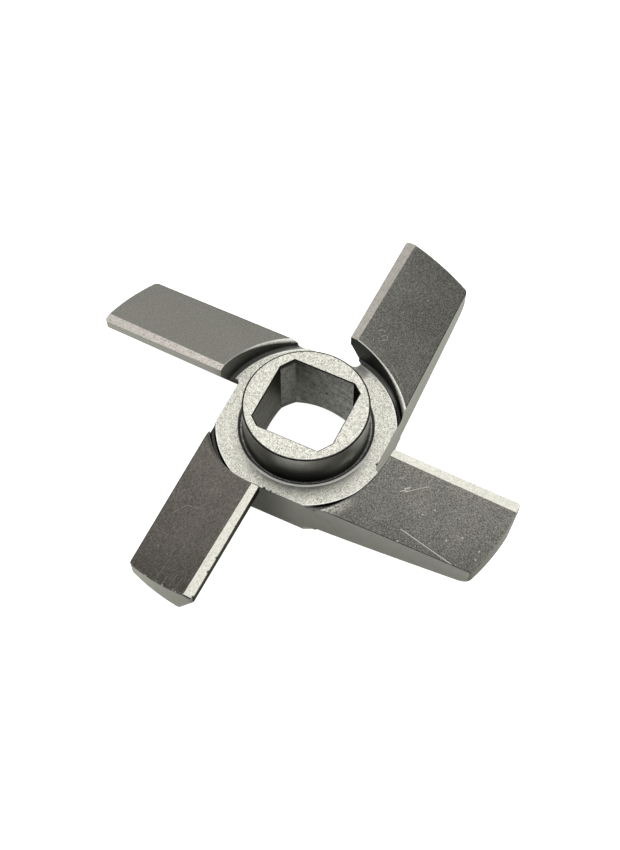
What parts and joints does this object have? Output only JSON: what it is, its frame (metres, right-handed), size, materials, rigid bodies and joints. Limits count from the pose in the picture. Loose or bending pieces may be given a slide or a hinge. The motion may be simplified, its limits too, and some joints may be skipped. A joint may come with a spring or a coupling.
{
  "type": "meat grinder knife",
  "caption": "One-piece cast knife with straight undercut blades round a turned hub, and a square drive hole through its raised boss.",
  "frame": {"origin": "on the knife's axis, in the flat face that the hub rests on", "axes": "+Z along the axis towards the boss and the cutting lands, +X along one blade, with the square hole's flats square to X and Y"},
  "size_m": [0.096, 0.096, 0.0187],
  "materials": {
    "stainless": "blasted casting with ground blade tops and turned hub faces"
  },
  "bodies": {
    "root": {"grinder_knife": "stainless"}
  },
  "joints": []
}
